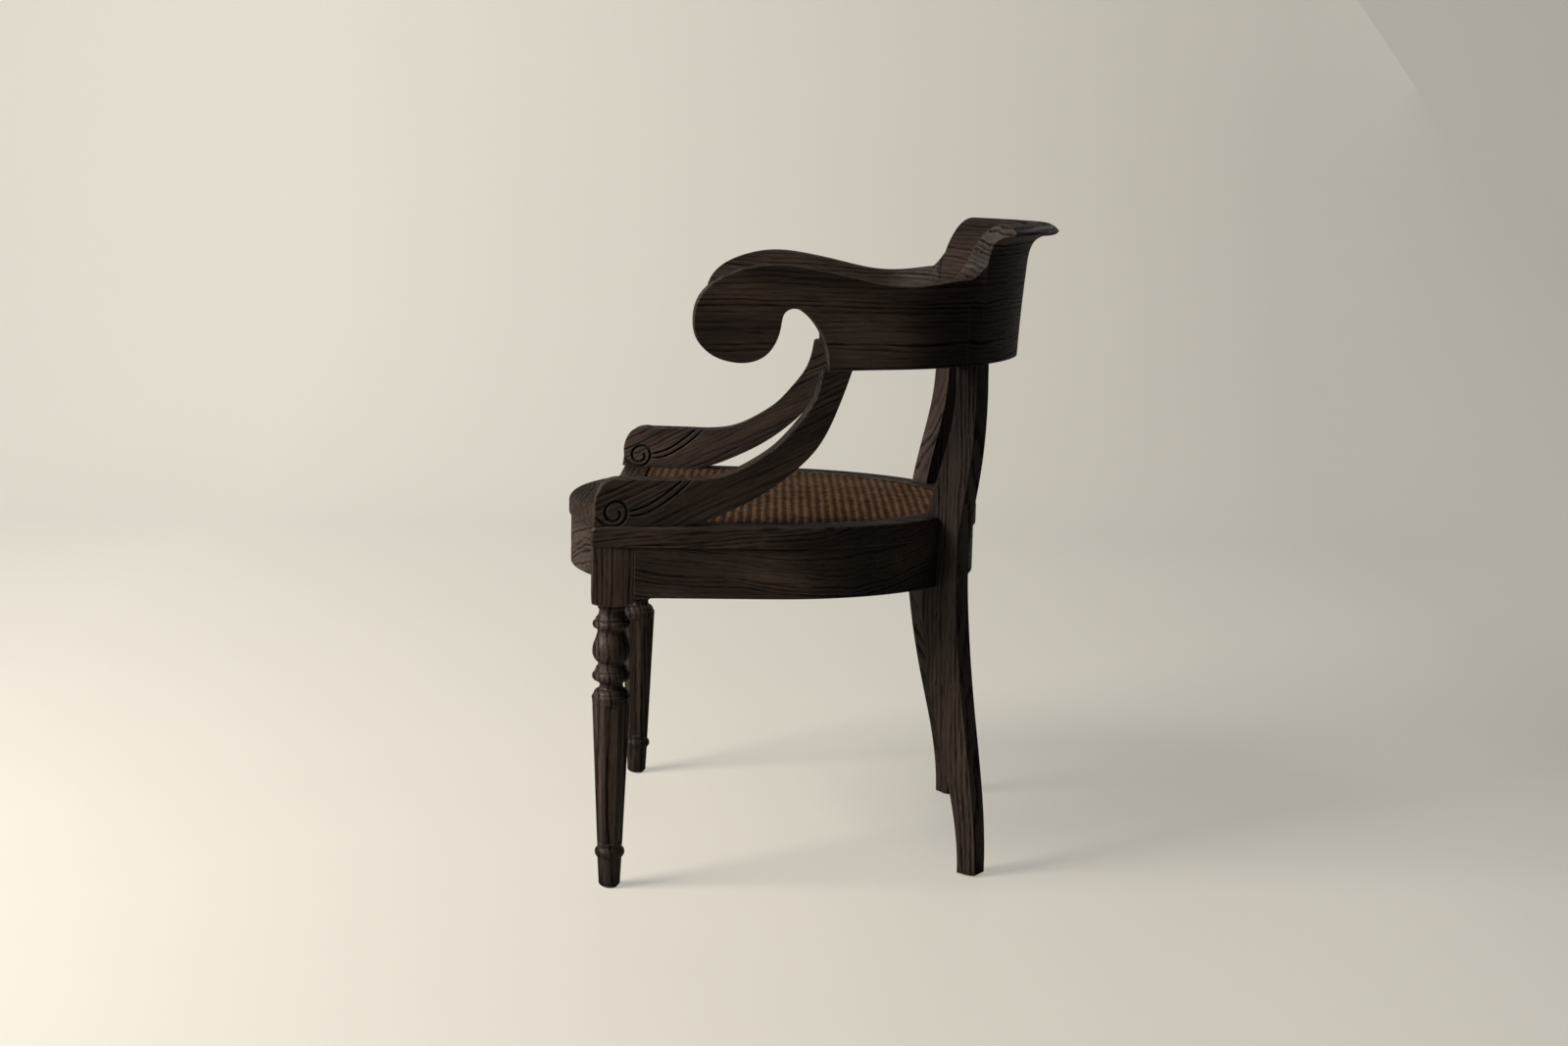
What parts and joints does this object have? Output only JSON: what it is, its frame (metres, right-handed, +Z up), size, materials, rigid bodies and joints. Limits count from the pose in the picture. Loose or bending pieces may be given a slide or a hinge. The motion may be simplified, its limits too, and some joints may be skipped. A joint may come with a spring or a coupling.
{
  "type": "klismos desk armchair",
  "caption": "Klismos-style armchair with a curved back that rolls over, scrolled arms, caned seat, fluted turned front legs and sabre-curved rear legs.",
  "frame": {"origin": "on the floor, at the centre of the chair's outline box", "axes": "+Z up, +Y toward the back, +X toward the sitter's left"},
  "size_m": [0.6086, 0.6446, 0.8375],
  "materials": {
    "stained_oak": "dark stained open-grain oak, satin",
    "cane": "close-woven cane, satin",
    "cane_strip": "stained reed, satin",
    "plain_wood": "unfinished",
    "screw_steel": "zinc plated",
    "glide": "matte"
  },
  "bodies": {
    "root": {"arm_joint_dowels": "plain_wood", "arm_left": "stained_oak", "arm_right": "stained_oak", "arm_support_left": "stained_oak", "arm_support_right": "stained_oak", "back_rail": "stained_oak", "cane_spline": "cane_strip", "corner_block_front_left": "plain_wood", "corner_block_front_right": "plain_wood", "corner_block_rear_left": "plain_wood", "corner_block_rear_right": "plain_wood", "corner_block_screws": "screw_steel", "crest_rail": "stained_oak", "foot_glides": "glide", "front_leg_left": "stained_oak", "front_leg_right": "stained_oak", "front_rail": "stained_oak", "rear_leg_left": "stained_oak", "rear_leg_right": "stained_oak", "seat_cane": "cane", "seat_frame_back": "stained_oak", "seat_frame_dowels": "plain_wood", "seat_frame_front": "stained_oak", "seat_frame_left": "stained_oak", "seat_frame_right": "stained_oak", "side_rail_left": "stained_oak", "side_rail_right": "stained_oak", "support_dowels": "plain_wood"}
  },
  "joints": []
}
